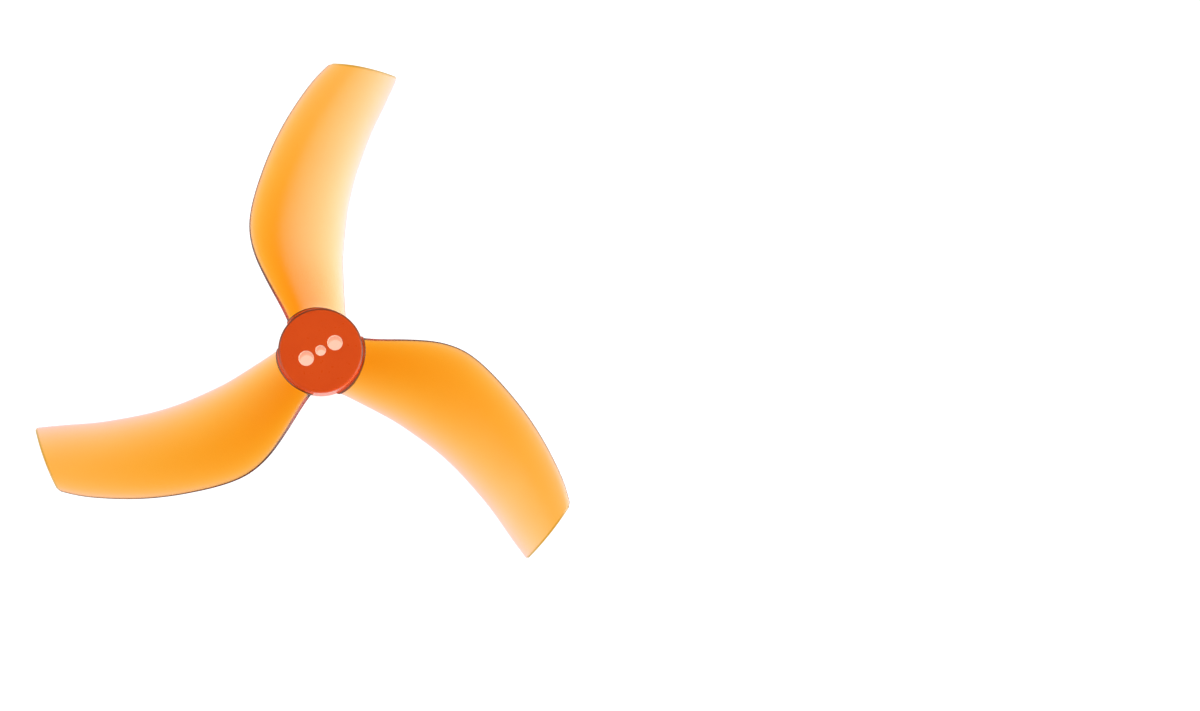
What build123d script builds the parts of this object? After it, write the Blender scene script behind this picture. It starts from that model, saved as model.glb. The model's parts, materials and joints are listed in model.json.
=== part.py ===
from build123d import *

import math
import os

# Three-blade propeller for a small ducted-fan camera drone. It turns anticlockwise seen from above.
# It is one tinted polycarbonate moulding, divided here along its natural lines into the hub's disc,
# skirt, bosses and ribs, a fairing at each root, and the blades. The pieces meet face to face.
# Frame, in millimetres: +Z is the spin axis and points up, away from the motor. The origin is on
# that axis at the hub's underside, which sits on the motor. The first blade points along +Y.

# Whole propeller
tip_diameter = 90.0
hub_diameter = 13.0
hub_height = 6.0
blade_count = 3

# Hub: a thick disc, with a skirt, three bosses and six ribs under it
cap_thickness = 2.4
cap_edge_round = 0.45
skirt_wall = 1.1
seat_edge_round = 0.25
shaft_bore_diameter = 1.5
shaft_boss_diameter = 2.6
screw_hole_diameter = 2.2
screw_spacing = 5.0  # from one screw hole to the other
screw_line_angle = 30.0  # degrees from +X, so the holes line up with the second blade
screw_boss_diameter = 4.2
rib_count = 6
rib_thickness = 0.8
rib_recess = 0.5  # how far the ribs stay above the seat

# Blade plan: span position, leading edge and trailing edge, for the blade that points along +Y
blade_plan = [
    (3.0, -4.2, 4.0),
    (7.0, -6.5, 3.6),
    (11.0, -8.8, 3.3),
    (15.0, -10.7, 3.1),
    (19.0, -11.5, 3.3),
    (23.0, -11.0, 3.7),
    (27.0, -9.9, 4.5),
    (31.0, -8.5, 5.7),
    (35.0, -6.7, 7.1),
    (39.0, -4.4, 8.9),
    (43.0, -1.6, 10.6),
    (47.0, 2.4, 12.2),
]
root_stations = blade_plan[:4]  # as far out as the fairing needs

# Blade section, from the root to the tip
pitch_root = 22.0  # degrees
pitch_tip = 14.0
pitch_power = 1.0
thickness_root = 1.9
thickness_tip = 0.85
thickness_power = 1.3
mid_height = 3.45  # height of the middle of the chord above the seat
root_drop = 0.45  # how much lower it starts at the root
camber = 0.055  # of the chord
camber_place = 0.40
trailing_edge_thickness = 0.22
section_points = 13  # along each face of a section

# Fairing: the collar where a blade runs into the hub
fairing_width = 0.55  # outwards from the hub's wall
fairing_lift = 0.45  # off the blade's faces
fairing_top_gap = 0.15  # below the top of the hub

hub_radius = hub_diameter / 2
tip_radius = tip_diameter / 2
cap_underside = hub_height - cap_thickness
skirt_inner_radius = hub_radius - skirt_wall
shaft_radius = shaft_bore_diameter / 2
screw_radius = screw_hole_diameter / 2
shaft_boss_radius = shaft_boss_diameter / 2
screw_boss_radius = screw_boss_diameter / 2
through = 4 * hub_height  # a cutter of this height passes right through


def disc(radius, height, bottom=0.0):
    """A cylinder on the spin axis that stands at the height called bottom."""
    return Pos(0, 0, bottom) * Cylinder(radius, height, align=(Align.CENTER, Align.CENTER, Align.MIN))


def cutter(radius):
    """A cylinder on the spin axis that reaches well past both ends of the hub."""
    return Cylinder(radius, through)


def screw_places():
    """Where the two screw holes are."""
    return [Rot(0, 0, screw_line_angle + turn) * Pos(screw_spacing / 2, 0, 0) for turn in (0, 180)]


def hub_holes():
    """The shaft bore and the two screw holes."""
    holes = cutter(shaft_radius)
    for place in screw_places():
        holes += place * cutter(screw_radius)
    return holes


def hub_cap():
    """The disc on top, with its outer edge rounded."""
    cap = disc(hub_radius, cap_thickness, cap_underside)
    cap = fillet(cap.edges().group_by(Axis.Z)[-1], cap_edge_round)
    return cap - hub_holes()


def hub_skirt():
    """The wall under the rim of the disc, which stands on the motor."""
    skirt = disc(hub_radius, cap_underside) - disc(skirt_inner_radius, cap_underside)
    seat_edges = skirt.edges().group_by(Axis.Z)[0]
    return fillet(seat_edges.sort_by(SortBy.RADIUS)[-1], seat_edge_round)


def shaft_boss():
    """The tube that grips the motor's shaft."""
    return disc(shaft_boss_radius, cap_underside) - cutter(shaft_radius)


def screw_boss(place):
    """The tube round one screw, where it is clear of the shaft boss."""
    boss = place * disc(screw_boss_radius, cap_underside)
    return boss - cutter(shaft_boss_radius) - hub_holes()


def hub_rib(angle):
    """A web from the bosses out to the skirt."""
    height = cap_underside - rib_recess
    rib = Box(skirt_inner_radius, rib_thickness, height, align=(Align.MIN, Align.CENTER, Align.MIN))
    rib = Rot(0, 0, screw_line_angle + angle) * Pos(0, 0, rib_recess) * rib
    rib = rib & cutter(skirt_inner_radius)
    rib = rib - cutter(shaft_boss_radius)
    for place in screw_places():
        rib = rib - place * cutter(screw_boss_radius)
    return rib


def camber_line(share):
    """Height of the mean line at a share of the chord, as a share of the chord."""
    if share < camber_place:
        return camber * share / camber_place**2 * (2 * camber_place - share)
    rear = 1 - 2 * camber_place + 2 * camber_place * share - share**2
    return camber * rear / (1 - camber_place) ** 2


def half_thickness(share, thickness):
    """From the mean line to either face, with a round nose and a blunt trailing edge."""
    swell = 1.4845 * math.sqrt(share) - 0.63 * share - 1.758 * share**2
    swell += 1.4215 * share**3 - 0.518 * share**4
    return thickness * swell + trailing_edge_thickness / 2 * share


def section(span, leading, trailing, lift=0.0):
    """The outline of the blade at one span position. lift moves both faces outwards."""
    outward = (span - hub_radius) / (tip_radius - hub_radius)
    outward = min(1.0, max(0.0, outward))
    pitch = math.radians(pitch_root + (pitch_tip - pitch_root) * outward**pitch_power)
    thickness = thickness_tip + (thickness_root - thickness_tip) * (1 - outward) ** thickness_power
    height = mid_height - root_drop * (1 - outward) ** 3
    leading = leading - lift / 2
    trailing = trailing + lift / 2
    chord = (trailing - leading) / math.cos(pitch)
    middle = Vector((leading + trailing) / 2, span, height)
    backwards = Vector(math.cos(pitch), 0, -math.sin(pitch))
    upwards = Vector(math.sin(pitch), 0, math.cos(pitch))

    def point(share, side):
        along = chord * (share - 0.5)
        off = chord * camber_line(share) + side * half_thickness(share, thickness + 2 * lift)
        return middle + backwards * along + upwards * off

    steps = range(section_points + 1)
    shares = [(1 - math.cos(math.pi * step / section_points)) / 2 for step in steps]
    upper = [point(share, 1) for share in reversed(shares)]
    lower = [point(share, -1) for share in shares[1:]]
    faces = Spline(*upper, *lower)
    trailing_edge = Line(faces @ 1, faces @ 0)
    return Wire([faces, trailing_edge])


def blade_stock(stations, lift=0.0):
    """The blade through its sections, starting inside the hub and running past the tip circle."""
    return Solid.make_loft([section(*station, lift) for station in stations])


def blade():
    """The blade from the hub's wall to the tip circle."""
    return (blade_stock(blade_plan) & cutter(tip_radius)) - cutter(hub_radius)


def root_fairing(whole_blade):
    """The collar round the root of a blade."""
    collar = disc(hub_radius + fairing_width, hub_height - fairing_top_gap) - cutter(hub_radius)
    collar = collar & blade_stock(root_stations, fairing_lift)
    return collar - whole_blade


def write(name, shape):
    """Writes one piece to its own file."""
    export_step(shape, os.path.join("parts", name + ".step"))


def main():
    os.makedirs("parts", exist_ok=True)
    write("hub_cap", hub_cap())
    write("hub_skirt", hub_skirt())
    write("shaft_boss", shaft_boss())
    for number, place in enumerate(screw_places(), 1):
        write(f"screw_boss_{number}", screw_boss(place))
    for number in range(rib_count):
        write(f"hub_rib_{number + 1}", hub_rib(number * 360 / rib_count))

    first_blade = blade()
    first_fairing = root_fairing(first_blade)
    for number in range(blade_count):
        turn = Rot(0, 0, number * 360 / blade_count)
        write(f"blade_{number + 1}", turn * first_blade)
        write(f"root_fairing_{number + 1}", turn * first_fairing)


main()
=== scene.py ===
import json
import math

import bmesh
import bpy
from mathutils import Matrix, Vector


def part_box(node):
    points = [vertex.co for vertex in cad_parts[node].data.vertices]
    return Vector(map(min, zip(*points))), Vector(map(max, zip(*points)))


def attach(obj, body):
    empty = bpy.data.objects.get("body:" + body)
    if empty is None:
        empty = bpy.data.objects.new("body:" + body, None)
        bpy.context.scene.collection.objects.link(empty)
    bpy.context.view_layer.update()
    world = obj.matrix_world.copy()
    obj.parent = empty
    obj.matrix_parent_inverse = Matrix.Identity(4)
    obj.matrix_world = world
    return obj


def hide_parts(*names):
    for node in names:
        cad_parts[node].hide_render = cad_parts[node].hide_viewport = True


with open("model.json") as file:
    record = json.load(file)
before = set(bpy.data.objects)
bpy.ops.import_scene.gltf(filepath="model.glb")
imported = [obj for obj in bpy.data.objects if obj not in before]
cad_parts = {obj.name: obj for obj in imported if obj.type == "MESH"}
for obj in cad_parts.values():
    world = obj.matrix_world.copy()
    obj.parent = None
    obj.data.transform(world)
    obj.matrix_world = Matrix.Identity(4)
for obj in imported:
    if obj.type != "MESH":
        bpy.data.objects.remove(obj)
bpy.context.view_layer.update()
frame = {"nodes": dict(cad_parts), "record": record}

mm = 0.001
scene = bpy.context.scene

# driving sizes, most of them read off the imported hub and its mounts
hubLow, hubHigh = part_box("hub_cap")
hubRadius = (hubHigh.x - hubLow.x) / 2
hubTop = hubHigh.z
capUnderside = hubLow.z
mounts = {mount["name"]: mount for mount in frame["record"]["mounts"]}
boreRadius = mounts["shaft_bore"]["dims"]["r_mm"] * mm
screwRadius = mounts["screw_pattern"]["dims"]["hole_r_mm"] * mm
screwReach = mounts["screw_pattern"]["dims"]["pcd_mm"] * mm / 2
screwLine = math.radians(30)  # the screw holes lie along the second blade
screwPlace = Vector((math.cos(screwLine), math.sin(screwLine))) * screwReach
hubHoles = [
    ((0, 0), boreRadius),
    (tuple(screwPlace), screwRadius),
    (tuple(-screwPlace), screwRadius),
]
bladeCount = 3
tipRadius = 45.0  # of the circle that cuts off the blades, in mm
wall = hubRadius / mm  # the hub's wall, in mm from the axis


def turned(bm, number):
    # turns what was made for the first blade to the place of another one
    turn = Matrix.Rotation(math.tau * (number - 1) / bladeCount, 3, "Z")
    bmesh.ops.rotate(bm, verts=bm.verts, cent=(0, 0, 0), matrix=turn)


def finish(piece, slot, *nodes):
    piece.data.shade_smooth()
    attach(piece, "root")
    if nodes:
        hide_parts(*nodes)


def pieceFrom(bm, name, material):
    mesh = bpy.data.meshes.new(name)
    bm.to_mesh(mesh)
    bm.free()
    mesh.materials.append(material)
    piece = bpy.data.objects.new(name, mesh)
    scene.collection.objects.link(piece)
    return piece


# nodes that the materials share
def node(tree, kind, **values):
    made = tree.nodes.new(kind)
    for key, value in values.items():
        socket = key.replace("_", " ")
        if socket in made.inputs:
            made.inputs[socket].default_value = value
        else:
            setattr(made, key, value)
    return made


def noise(tree, scale, detail):
    place = node(tree, "ShaderNodeTexCoord")
    made = node(tree, "ShaderNodeTexNoise", Scale=scale, Detail=detail)
    tree.links.new(place.outputs["Object"], made.inputs["Vector"])
    return made.outputs["Fac"]


def spread(tree, source, low, high, start=0.3, end=0.7):
    # a source that runs from start to end comes out as low to high, and no further
    made = node(tree, "ShaderNodeMapRange")
    tree.links.new(source, made.inputs["Value"])
    made.inputs["From Min"].default_value = start
    made.inputs["From Max"].default_value = end
    made.inputs["To Min"].default_value = low
    made.inputs["To Max"].default_value = high
    return made.outputs["Result"]


def blend(tree, source, first, second, under=None):
    # mixes two colours, or paints one over a socket that already has a colour
    made = node(tree, "ShaderNodeMix", data_type="RGBA")
    tree.links.new(source, made.inputs[0])
    if under:
        tree.links.new(under, made.inputs[6])
    else:
        made.inputs[6].default_value = (*first, 1)
    made.inputs[7].default_value = (*second, 1)
    return made.outputs[2]


def axisDistance(tree, centre=(0, 0)):
    # how far a point is from an upright axis, in mm
    place = node(tree, "ShaderNodeTexCoord")
    offset = node(tree, "ShaderNodeVectorMath", operation="MULTIPLY_ADD")
    offset.inputs[1].default_value = (1 / mm, 1 / mm, 0)
    offset.inputs[2].default_value = (-centre[0] / mm, -centre[1] / mm, 0)
    length = node(tree, "ShaderNodeVectorMath", operation="LENGTH")
    tree.links.new(place.outputs["Object"], offset.inputs[0])
    tree.links.new(offset.outputs[0], length.inputs[0])
    return length.outputs["Value"]


def partOf(tree, axis):
    # how far a point is along one axis, in metres
    place = node(tree, "ShaderNodeTexCoord")
    parts = node(tree, "ShaderNodeSeparateXYZ")
    tree.links.new(place.outputs["Object"], parts.inputs[0])
    return parts.outputs[axis]


def combine(tree, operation, first, second):
    made = node(tree, "ShaderNodeMath", operation=operation)
    tree.links.new(first, made.inputs[0])
    tree.links.new(second, made.inputs[1])
    return made.outputs[0]


def paintedRimMask(tree, rim):
    # mask for painted shade at a rim: grows to 1 at a rim, where that is high enough and far enough back
    shade = spread(tree, axisDistance(tree), 0, 1, *rim["radius"])
    for key, axis in (("height", "Z"), ("back", "Y")):
        if key in rim:
            start, end = rim[key]
            reached = spread(tree, partOf(tree, axis), 0, 1, start * mm, end * mm)
            shade = combine(tree, "MULTIPLY", shade, reached)
    return shade


def noseShade(tree, width):
    # mask for painted shade: grows to 1 along a leading edge, which is half a turn round the blade's
    # section
    turn = node(tree, "ShaderNodeAttribute", attribute_name="turn")
    away = node(tree, "ShaderNodeMath", operation="SUBTRACT")
    away.inputs[1].default_value = math.pi
    tree.links.new(turn.outputs["Fac"], away.inputs[0])
    size = node(tree, "ShaderNodeMath", operation="ABSOLUTE")
    tree.links.new(away.outputs[0], size.inputs[0])
    return spread(tree, size.outputs[0], 1, 0, *width)


def paintedHoleLightMask(tree, reach):
    # mask for painted light: grows to 1 at the walls of the hub's holes
    shade = None
    for centre, radius in hubHoles:
        start, end = (radius / mm + step for step in reach)
        near = spread(tree, axisDistance(tree, centre), 1, 0, start, end)
        shade = combine(tree, "MAXIMUM", shade, near) if shade else near
    return shade


def tintedPlastic(name, look):
    material = bpy.data.materials.new(name)
    material.use_nodes = True
    tree = material.node_tree
    shader = tree.nodes["Principled BSDF"]
    output = tree.nodes["Material Output"]
    link = tree.links.new
    cloud = noise(tree, look["cloudScale"], 3)
    grain = noise(tree, look["grainScale"], 4)
    colour = blend(tree, cloud, look["pale"], look["deep"])
    if look.get("rim"):
        # painted shade: the plastic is painted deeper where it turns away at a rim
        colour = blend(tree, paintedRimMask(tree, look["rim"]), None, look["edge"], colour)
    # painted shade: a darker line along each leading edge
    if look.get("nose"):
        colour = blend(tree, noseShade(tree, look["noseWidth"]), None, look["nose"], colour)
    if look.get("paintedHoleLight"):
        # painted light: the plastic is painted paler in the holes and given a faint glow, for light that
        # would come up through it
        paintedLight = paintedHoleLightMask(tree, look["holeReach"])
        colour = blend(tree, paintedLight, None, look["paintedHoleLight"], colour)
        link(blend(tree, paintedLight, (0, 0, 0), look["paintedHoleLight"]), shader.inputs["Emission Color"])
        shader.inputs["Emission Strength"].default_value = look["paintedHoleGlow"]
    link(colour, shader.inputs["Base Color"])
    link(spread(tree, grain, *look["roughness"]), shader.inputs["Roughness"])
    bump = node(tree, "ShaderNodeBump", Strength=look["bump"], Distance=grainHeight * mm)
    link(grain, bump.inputs["Height"])
    link(bump.outputs["Normal"], shader.inputs["Normal"])
    shader.inputs["IOR"].default_value = plasticIor
    shader.inputs["Transmission Weight"].default_value = look["clear"]
    shader.inputs["Specular IOR Level"].default_value = look["gloss"]
    if look.get("density"):
        soak = node(tree, "ShaderNodeVolumeAbsorption", Density=look["density"])
        soak.inputs["Color"].default_value = (*look["keeps"], 1)
        link(soak.outputs["Volume"], output.inputs["Volume"])
    return material


plasticIor = 1.58
grainHeight = 0.02  # in mm
bladePlastic = {
    "pale": (1.0, 0.67, 1.0),
    "deep": (1.0, 0.63, 0.92),
    "cloudScale": 160,
    "grainScale": 1400,
    "roughness": (0.17, 0.23),
    "bump": 0.05,
    "gloss": 0.5,
    "clear": 1.0,
    "density": 2850,
    "keeps": (0.975, 0.84, 0.0),  # what is left of red, green and blue
    # painted shade: edge is a darker line at the blade's tip edge, and rim says where
    "edge": (0.60, 0.46, 0.34),
    "rim": {"radius": (tipRadius - 0.40, tipRadius - 0.15)},
    # painted shade: a darker line along the leading edge
    "nose": (0.72, 0.44, 0.20),
    "noseWidth": (0.12, 0.36),  # in radians round the section
}
hubPlastic = {
    "pale": (0.92, 0.102, 0.010),
    "deep": (0.84, 0.080, 0.008),
    # painted shade: edge is a dark line round the top of the hub, only on its +Y side
    "edge": (0.22, 0.040, 0.003),
    "rim": {
        "radius": (wall - 0.34, wall - 0.14),
        "height": (hubTop / mm - 0.9, hubTop / mm - 0.6),
        "back": (-3.5, -0.5),
    },
    # painted light: a pale colour and a faint glow at the walls of the holes
    "paintedHoleLight": (1.0, 0.68, 0.52),
    "holeReach": (0.02, 0.10),
    "paintedHoleGlow": 0.14,
    "cloudScale": 220,
    "grainScale": 1800,
    "roughness": (0.27, 0.33),
    "bump": 0.02,
    "gloss": 0.3,
    "clear": 0.0,
}
fairingPlastic = {
    "pale": (0.92, 0.108, 0.010),
    "deep": (0.84, 0.085, 0.008),
    # painted shade: edge is a darker colour over the collar's outer edge
    "edge": (0.20, 0.036, 0.003),
    "rim": {"radius": (wall + 0.12, wall + 0.28)},
    "cloudScale": 220,
    "grainScale": 1800,
    "roughness": (0.22, 0.28),
    "bump": 0.02,
    "gloss": 0.3,
    "clear": 0.0,
}
bladeMaterial = tintedPlastic("clear_orange_blade", bladePlastic)
hubMaterial = tintedPlastic("deep_orange_hub", hubPlastic)
fairingMaterial = tintedPlastic("deep_orange_fairing", fairingPlastic)
print("materials made")


# the three blades
bladeShape = {
    # span, leading edge and trailing edge of the blade that points along +Y, in mm
    "plan": [
        (3, -4.2, 4.0),
        (7, -6.5, 3.6),
        (11, -8.8, 3.3),
        (15, -10.7, 3.1),
        (19, -11.5, 3.3),
        (23, -11.0, 3.7),
        (27, -9.9, 4.5),
        (31, -8.5, 5.7),
        (35, -6.7, 7.1),
        (39, -4.4, 8.9),
        (43, -1.6, 10.6),
        (47, 2.4, 12.2),
    ],
    "pitch": (22.0, 14.0, 1.0),  # degrees at the root and the tip, and how fast it falls
    "thickness": (1.9, 0.85, 1.3),  # the same for the thickness
    "midHeight": 3.45,
    "rootDrop": 0.45,
    "camber": 0.055,
    "camberPlace": 0.40,
    "edge": 0.22,  # thickness of the trailing edge
    "around": 32,  # points round a section
    "along": 22,  # rings from the hub to the tip
    "corner": 0.4,  # rounding of the two corners at the tip, in plan
    "cornerAngles": (22, 45, 62, 76, 84),  # in degrees
    "cornerCut": 0.75,  # how far the tip is narrowed on each side, as a share of corner
    "lip": 0.14,  # rounding of the tip's upper and lower edges
    # rings over the lip: how far before the tip and how much narrower, in lips, and how full
    "lipRings": ((1, 0, 1.0), (0.3, 0.2, 0.9), (0, 1, 0.6), (0, 1, 0.3), (0, 1, 0.0)),
    "sink": 0.1,  # how far it starts inside the hub
    "rounds": 8,  # tries at placing a point on its circle
    "levels": 2,
}
sectionTerms = ((0.5, 1.4845), (1, -0.63), (2, -1.758), (3, 1.4215), (4, -0.518))  # power and factor
mergeDistance = 0.002  # in mm


def edgesAt(span):
    # leading and trailing edge, smoothly between the stations
    plan = bladeShape["plan"]
    step = plan[1][0] - plan[0][0]
    place = (span - plan[0][0]) / step
    row = min(max(int(place), 1), len(plan) - 3)
    t = place - row
    found = []
    for column in (1, 2):
        a, b, c, d = (plan[row + shift][column] for shift in (-1, 0, 1, 2))
        slope = (c - a) / 2
        bend = (2 * a - 5 * b + 4 * c - d) / 2
        twist = (3 * b - 3 * c + d - a) / 2
        found.append(b + t * (slope + t * (bend + t * twist)))
    return found


def bladePoint(radius, turn, lift=0.0, inset=0.0, fill=1.0):
    # turn runs round the section from the trailing edge over the top to the leading edge and back below.
    # The point has to lie on a circle of the given radius, so its span is found in a few rounds.
    shape = bladeShape
    share = (1 + math.cos(turn)) / 2
    side = math.sin(turn)
    span = radius
    for attempt in range(shape["rounds"]):
        leading, trailing = edgesAt(span)
        leading += inset - lift / 2
        trailing -= inset - lift / 2
        outward = min(1.0, max(0.0, (span - wall) / (tipRadius - wall)))
        rootPitch, tipPitch, fall = shape["pitch"]
        pitch = math.radians(rootPitch + (tipPitch - rootPitch) * outward**fall)
        rootThick, tipThick, thin = shape["thickness"]
        thick = tipThick + (rootThick - tipThick) * (1 - outward) ** thin + 2 * lift
        chord = (trailing - leading) / math.cos(pitch)
        place = shape["camberPlace"]
        if share < place:
            mean = shape["camber"] * share / place**2 * (2 * place - share)
        else:
            mean = shape["camber"] / (1 - place) ** 2 * (1 - 2 * place + 2 * place * share - share**2)
        swell = sum(factor * share**power for power, factor in sectionTerms)
        half = (thick * swell + shape["edge"] / 2 * share) * fill
        if abs(side) < 1e-6:
            half = 0.0
        off = chord * mean + math.copysign(half, side)
        along = chord * (share - 0.5)
        x = (leading + trailing) / 2 + along * math.cos(pitch) + off * math.sin(pitch)
        z = shape["midHeight"] - shape["rootDrop"] * (1 - outward) ** 3
        z += off * math.cos(pitch) - along * math.sin(pitch)
        span = math.sqrt(max(radius**2 - x**2, 0.0))
    return Vector((x, span, z)) * mm


def stackRings(rings, around):
    # each ring is a function that gives a point for an angle round the section
    bm = bmesh.new()
    turn = bm.verts.layers.float.new("turn")
    made = bmesh.ops.create_circle(bm, segments=around, radius=1)["verts"]
    for vert in made:
        vert[turn] = math.atan2(vert.co.y, vert.co.x) % (2 * math.pi)
    for number, ring in enumerate(rings):
        if number:
            edges = [edge for edge in bm.edges if edge.verts[0] in made and edge.verts[1] in made]
            grown = bmesh.ops.extrude_edge_only(bm, edges=edges)["geom"]
            made = {item for item in grown if isinstance(item, bmesh.types.BMVert)}
        made = set(made)
        for vert in made:
            vert.co = ring(vert[turn])
    bmesh.ops.remove_doubles(bm, verts=bm.verts, dist=mergeDistance * mm)
    bmesh.ops.recalc_face_normals(bm, faces=bm.faces)
    return bm


def ringAt(radius, **changes):
    return lambda turn: bladePoint(radius, turn, **changes)


def bladeRings():
    shape = bladeShape
    root = wall - shape["sink"]
    lip, corner = shape["lip"], shape["corner"]
    last = tipRadius - corner
    rings = [ringAt(root, fill=0.0), ringAt(root, fill=0.5), ringAt(root)]
    for step in range(1, shape["along"] + 1):
        rings.append(ringAt(root + (last - root) * step / shape["along"]))
    for degrees in shape["cornerAngles"]:
        bend = math.radians(degrees)
        out = corner * math.sin(bend)
        if corner - out > lip:
            rings.append(ringAt(last + out, inset=corner * (1 - math.cos(bend))))
    narrowed = corner * shape["cornerCut"]
    for before, narrower, fill in shape["lipRings"]:
        inset = narrowed + narrower * lip
        rings.append(ringAt(tipRadius - before * lip, inset=inset, fill=fill))
    return rings


for number in range(1, bladeCount + 1):
    bm = stackRings(bladeRings(), bladeShape["around"])
    turned(bm, number)
    piece = pieceFrom(bm, f"blade_{number}_moulded", bladeMaterial)
    smoother = piece.modifiers.new("smooth", "SUBSURF")
    smoother.levels = smoother.render_levels = bladeShape["levels"]
    finish(piece, "blade_plastic", f"blade_{number}")
print("blades made")


# the collars where the blades run into the hub
fairingShape = {
    "width": 0.40,  # outwards from the hub's wall, in mm
    "lift": 0.45,  # off the blade's faces
    "roundness": 0.22,  # of the outer edge
    "roundAngles": (0, 30, 60, 85),  # in degrees
    "topGap": 0.15,  # below the top of the hub
    "sink": 0.1,  # how far it starts inside the hub
    "lap": 0.15,  # how far its outer end reaches below the blade's face
    "around": 48,
    "levels": 2,
}


def fairingRings():
    shape = fairingShape
    lift, roundness, sink = shape["lift"], shape["roundness"], shape["sink"]
    ceiling = hubTop - shape["topGap"] * mm
    end = wall + shape["width"]

    def under(radius, **changes):
        def ring(turn):
            point = bladePoint(radius, turn, **changes)
            point.z = min(point.z, ceiling)
            return point
        return ring

    rings = [under(wall - sink, lift=lift, fill=0.0), under(wall - sink, lift=lift)]
    rings.append(under(wall + sink, lift=lift))
    for degrees in shape["roundAngles"]:
        bend = math.radians(degrees)
        out = roundness * (1 - math.sin(bend))
        rings.append(under(end - out, lift=lift - roundness * (1 - math.cos(bend))))
    rings.append(under(end, lift=-shape["lap"]))
    rings.append(under(end - sink, lift=-shape["lap"], fill=0.0))
    return rings


for number in range(1, bladeCount + 1):
    bm = stackRings(fairingRings(), fairingShape["around"])
    turned(bm, number)
    piece = pieceFrom(bm, f"root_fairing_{number}_moulded", fairingMaterial)
    smoother = piece.modifiers.new("smooth", "SUBSURF")
    smoother.levels = smoother.render_levels = fairingShape["levels"]
    finish(piece, "fairing_plastic", f"root_fairing_{number}")
print("fairings made")


# the hub
hubShape = {
    "rimRound": 0.55,  # in mm
    "rimSweep": 54,  # degrees of rounding before the wall drops straight down
    "mouthRound": 0.12,
    "rimSegments": 192,
    "holeSegments": 64,
    "roundSteps": 8,
}


def loopAt(bm, centre, radius, segments, height):
    place = Matrix.Translation((*centre, height))
    return bmesh.ops.create_circle(bm, segments=segments, radius=radius, matrix=place)["verts"]


def loopEdges(bm, loop):
    inside = set(loop)
    return [edge for edge in bm.edges if edge.verts[0] in inside and edge.verts[1] in inside]


def pullLoop(bm, loop, centre, radius, height):
    # pulls a wall out of a round loop, to a new radius and height
    grown = bmesh.ops.extrude_edge_only(bm, edges=loopEdges(bm, loop))["geom"]
    verts = [item for item in grown if isinstance(item, bmesh.types.BMVert)]
    middle = Vector((*centre, 0))
    for vert in verts:
        outward = vert.co - middle
        outward.z = 0
        vert.co = middle + outward.normalized() * radius
        vert.co.z = height
    return verts


def makeHubDisc():
    shape = hubShape
    rim, mouth, steps = shape["rimRound"] * mm, shape["mouthRound"] * mm, shape["roundSteps"]
    sweep = math.radians(shape["rimSweep"])
    flat = hubRadius - rim * math.sin(sweep)
    bm = bmesh.new()
    outer = loopAt(bm, (0, 0), flat, shape["rimSegments"], hubTop)
    mouths = []
    for centre, radius in hubHoles:
        mouths.append(loopAt(bm, centre, radius + mouth, shape["holeSegments"], hubTop))
    bmesh.ops.triangle_fill(bm, use_beauty=True, edges=bm.edges[:])
    for step in range(1, steps + 1):
        bend = sweep * step / steps
        radius = flat + rim * math.sin(bend)
        height = hubTop - rim * (1 - math.cos(bend))
        outer = pullLoop(bm, outer, (0, 0), radius, height)
    outer = pullLoop(bm, outer, (0, 0), hubRadius, capUnderside)
    lower = loopEdges(bm, outer)
    for loop, (centre, hole) in zip(mouths, hubHoles):
        for step in range(1, steps + 1):
            bend = math.pi / 2 * step / steps
            radius = hole + mouth * (1 - math.sin(bend))
            height = hubTop - mouth * (1 - math.cos(bend))
            loop = pullLoop(bm, loop, centre, radius, height)
        loop = pullLoop(bm, loop, centre, hole, capUnderside)
        lower += loopEdges(bm, loop)
    bmesh.ops.triangle_fill(bm, use_beauty=True, edges=lower)
    bmesh.ops.recalc_face_normals(bm, faces=bm.faces)
    disc = pieceFrom(bm, "hub_disc", hubMaterial)
    crisp = disc.modifiers.new("crisp", "WEIGHTED_NORMAL")
    crisp.keep_sharp = True
    finish(disc, "hub_plastic", "hub_cap")


makeHubDisc()
for name, item in frame["nodes"].items():
    if name.startswith(("hub", "shaft", "screw")):
        item.data.materials.clear()
        item.data.materials.append(hubMaterial)
print("hub made")


# floor, light and camera
studio = {
    "floorSize": 4.0,
    "floorColour": (0.08, 0.08, 0.08),
    "floorRoughness": 0.7,
    "floorGlow": 1.14,
    "paintedUnderHubShadow": (0.95, 0.51, 0.38),  # painted shadow on the floor under the hub, tinted as light through the hub would tint it
    "underHubEdge": (0.85 * wall, 1.05 * wall),
    "sky": [(0.0, 1.0), (0.18, 1.0), (0.35, 0.45), (0.52, 0.20), (0.70, 0.06)],  # height and brightness
    "windows": [
        {
            "towards": (0.996, 0.0, -0.087),
            "edges": (0.30, 0.95),  # cosines at which it begins and is full
            "sides": (0.25, 0.50),  # how far to the side it is full and ends
            "glow": 6.6,
        },
        {
            "towards": (-0.866, 0.0, 0.5),
            "edges": (0.75, 0.98),
            "sides": (0.35, 0.60),
            "glow": 2.6,
        },
    ],
}


def makeFloor():
    bm = bmesh.new()
    bmesh.ops.create_grid(bm, x_segments=8, y_segments=8, size=studio["floorSize"] / 2)
    material = bpy.data.materials.new("pale_floor")
    material.use_nodes = True
    tree = material.node_tree
    shader = tree.nodes["Principled BSDF"]
    shader.inputs["Base Color"].default_value = (*studio["floorColour"], 1)
    shader.inputs["Roughness"].default_value = studio["floorRoughness"]
    # painted shadow: the floor's glow is tinted and dimmer under the hub
    outside = spread(tree, axisDistance(tree), 0, 1, *studio["underHubEdge"])
    tree.links.new(blend(tree, outside, studio["paintedUnderHubShadow"], (1, 1, 1)), shader.inputs["Emission Color"])
    shader.inputs["Emission Strength"].default_value = studio["floorGlow"]
    floor = pieceFrom(bm, "floor", material)


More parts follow.
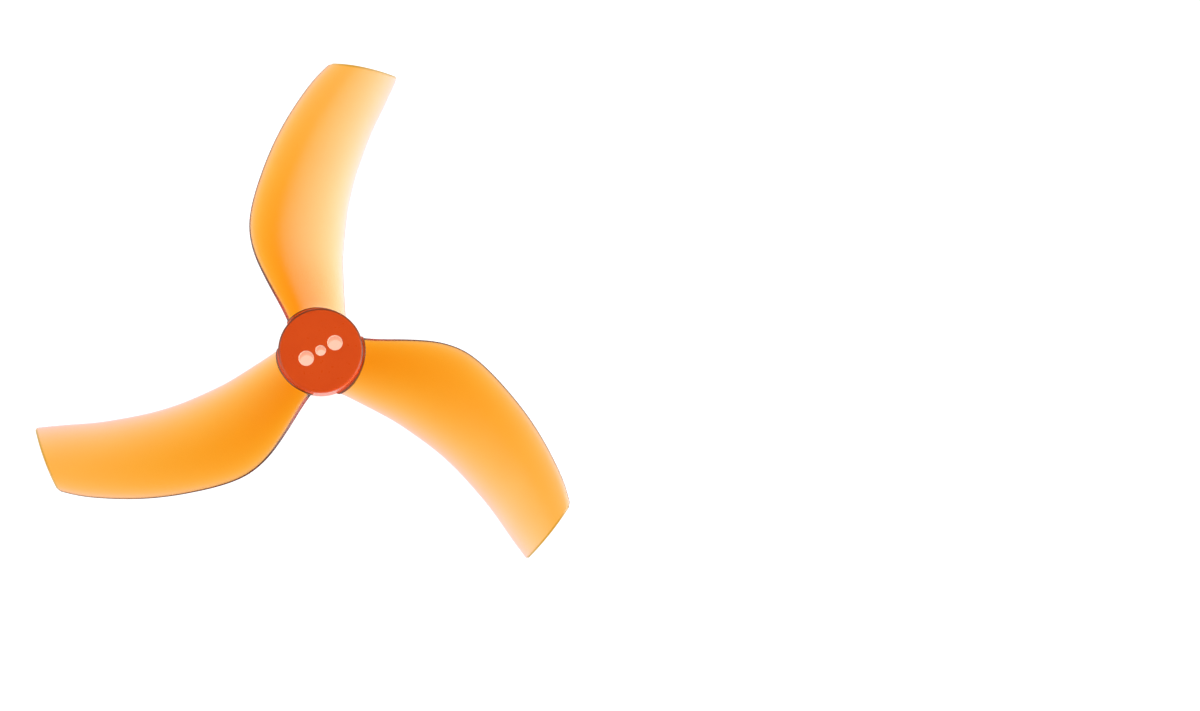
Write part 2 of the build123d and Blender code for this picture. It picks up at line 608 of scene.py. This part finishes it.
def makeSky():
    # pale at the horizon and dark overhead,
    # with a bright soft window on the right and a faint one on the left
    sky = bpy.data.worlds.new("studio")
    scene.world = sky
    sky.use_nodes = True
    tree = sky.node_tree
    link = tree.links.new
    direction = node(tree, "ShaderNodeTexCoord").outputs["Generated"]
    height = node(tree, "ShaderNodeSeparateXYZ")
    link(direction, height.inputs["Vector"])
    ramp = node(tree, "ShaderNodeValToRGB")
    steps = ramp.color_ramp.elements
    for number, (place, bright) in enumerate(studio["sky"]):
        step = steps[number] if number < 2 else steps.new(place)
        step.position = place
        step.color = (bright, bright, bright, 1)
    link(height.outputs["Z"], ramp.inputs["Fac"])
    link(ramp.outputs["Color"], tree.nodes["Background"].inputs["Color"])
    light = tree.nodes["Background"].outputs[0]
    for window in studio["windows"]:
        facing = node(tree, "ShaderNodeVectorMath", operation="DOT_PRODUCT")
        facing.inputs[1].default_value = window["towards"]
        link(direction, facing.inputs[0])
        pane = node(tree, "ShaderNodeBackground")
        glow = spread(tree, facing.outputs["Value"], 0, window["glow"], *window["edges"])
        aside = node(tree, "ShaderNodeMath", operation="ABSOLUTE")
        link(height.outputs["Y"], aside.inputs[0])
        narrow = spread(tree, aside.outputs[0], 1, 0, *window["sides"])
        link(combine(tree, "MULTIPLY", glow, narrow), pane.inputs["Strength"])
        both = node(tree, "ShaderNodeAddShader")
        link(light, both.inputs[0])
        link(pane.outputs[0], both.inputs[1])
        light = both.outputs[0]
    link(light, tree.nodes["World Output"].inputs["Surface"])


makeFloor()
makeSky()

view = {
    "place": (7.4, -50.1, 459.0),
    "aim": (43.1, 0.5, 3.45),
    "roll": 0.0144,
    "lens": 88.94,
    "sensor": 36,
    "near": 0.01,
}
cameraData = bpy.data.cameras.new("camera")
camera = bpy.data.objects.new("camera", cameraData)
scene.collection.objects.link(camera)
scene.camera = camera
cameraData.lens = view["lens"]
cameraData.sensor_width = view["sensor"]
cameraData.clip_start = view["near"]
place, aim = Vector(view["place"]) * mm, Vector(view["aim"]) * mm
forward = (aim - place).normalized()
right = forward.cross(Vector((0, 1, 0))).normalized()
up = right.cross(forward)
facing = Matrix((right, up, -forward)).transposed() @ Matrix.Rotation(view["roll"], 3, "Z")
camera.matrix_world = Matrix.Translation(place) @ facing.to_4x4()
scene.view_settings.view_transform = "Standard"
print("studio set")
